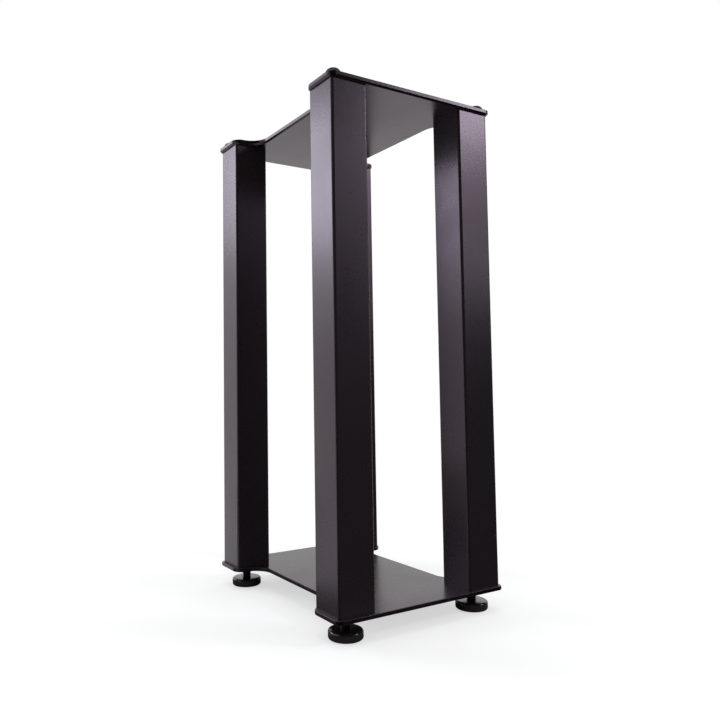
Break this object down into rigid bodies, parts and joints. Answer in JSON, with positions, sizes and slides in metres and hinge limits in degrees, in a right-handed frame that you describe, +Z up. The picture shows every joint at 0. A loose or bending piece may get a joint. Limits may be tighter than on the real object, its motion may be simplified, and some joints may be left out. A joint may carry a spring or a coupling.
{
  "type": "speaker stand",
  "caption": "Open-frame floor stand for a loudspeaker: waisted steel top and base plates on square tube posts, soft pads on top and screw-adjusted round feet below.",
  "frame": {"origin": "on the floor, under the middle of the stand", "axes": "+Z up, -Y towards the front short side, +X to the right of a viewer who faces that side"},
  "size_m": [0.253, 0.316, 0.658],
  "materials": {
    "coated_steel": "satin charcoal powder coat with a fine texture",
    "black_steel": "blackened steel, oiled",
    "plain_steel": "bare machined steel, hidden in the posts",
    "gloss_black": "polished black moulding",
    "black_rubber": "matt black rubber"
  },
  "bodies": {
    "stand": {"top_plate": "coated_steel", "base_plate": "coated_steel", "top_plate_screws": "black_steel", "base_plate_screws": "black_steel", "post_front_left": "coated_steel", "post_top_insert_front_left": "plain_steel", "post_bottom_insert_front_left": "plain_steel", "isolation_pad_front_left": "black_rubber", "post_front_right": "coated_steel", "post_top_insert_front_right": "plain_steel", "post_bottom_insert_front_right": "plain_steel", "isolation_pad_front_right": "black_rubber", "post_back_left": "coated_steel", "post_top_insert_back_left": "plain_steel", "post_bottom_insert_back_left": "plain_steel", "isolation_pad_back_left": "black_rubber", "post_back_right": "coated_steel", "post_top_insert_back_right": "plain_steel", "post_bottom_insert_back_right": "plain_steel", "isolation_pad_back_right": "black_rubber"},
    "foot_sole_front_left": {"foot_sole_front_left": "black_rubber"},
    "foot_front_left": {"foot_disc_front_left": "gloss_black", "foot_stud_front_left": "black_steel"},
    "foot_sole_front_right": {"foot_sole_front_right": "black_rubber"},
    "foot_front_right": {"foot_disc_front_right": "gloss_black", "foot_stud_front_right": "black_steel"},
    "foot_sole_back_left": {"foot_sole_back_left": "black_rubber"},
    "foot_back_left": {"foot_disc_back_left": "gloss_black", "foot_stud_back_left": "black_steel"},
    "foot_sole_back_right": {"foot_sole_back_right": "black_rubber"},
    "foot_back_right": {"foot_disc_back_right": "gloss_black", "foot_stud_back_right": "black_steel"}
  },
  "joints": [
    {"name": "foot_front_left_height", "type": "slide", "parent": "stand", "child": "foot_sole_front_left", "axis": [0, 0, 1], "range_m": [-0.0089, 0.0141]},
    {"name": "foot_front_left_turn", "type": "hinge", "parent": "foot_sole_front_left", "child": "foot_front_left", "pos_m": [-0.0975, -0.129, 0.0055], "axis": [0, 0, 1], "range_deg": [-1800, 2880]},
    {"name": "foot_front_right_height", "type": "slide", "parent": "stand", "child": "foot_sole_front_right", "axis": [0, 0, 1], "range_m": [-0.0089, 0.0141]},
    {"name": "foot_front_right_turn", "type": "hinge", "parent": "foot_sole_front_right", "child": "foot_front_right", "pos_m": [0.0975, -0.129, 0.0055], "axis": [0, 0, 1], "range_deg": [-1800, 2880]},
    {"name": "foot_back_left_height", "type": "slide", "parent": "stand", "child": "foot_sole_back_left", "axis": [0, 0, 1], "range_m": [-0.0089, 0.0141]},
    {"name": "foot_back_left_turn", "type": "hinge", "parent": "foot_sole_back_left", "child": "foot_back_left", "pos_m": [-0.0975, 0.129, 0.0055], "axis": [0, 0, 1], "range_deg": [-1800, 2880]},
    {"name": "foot_back_right_height", "type": "slide", "parent": "stand", "child": "foot_sole_back_right", "axis": [0, 0, 1], "range_m": [-0.0089, 0.0141]},
    {"name": "foot_back_right_turn", "type": "hinge", "parent": "foot_sole_back_right", "child": "foot_back_right", "pos_m": [0.0975, 0.129, 0.0055], "axis": [0, 0, 1], "range_deg": [-1800, 2880]}
  ],
  "couplings": [
    {"joint": "foot_front_left_height", "follows": "foot_front_left_turn", "m_per_rad": 0.00027852},
    {"joint": "foot_front_right_height", "follows": "foot_front_right_turn", "m_per_rad": 0.00027852},
    {"joint": "foot_back_left_height", "follows": "foot_back_left_turn", "m_per_rad": 0.00027852},
    {"joint": "foot_back_right_height", "follows": "foot_back_right_turn", "m_per_rad": 0.00027852}
  ]
}
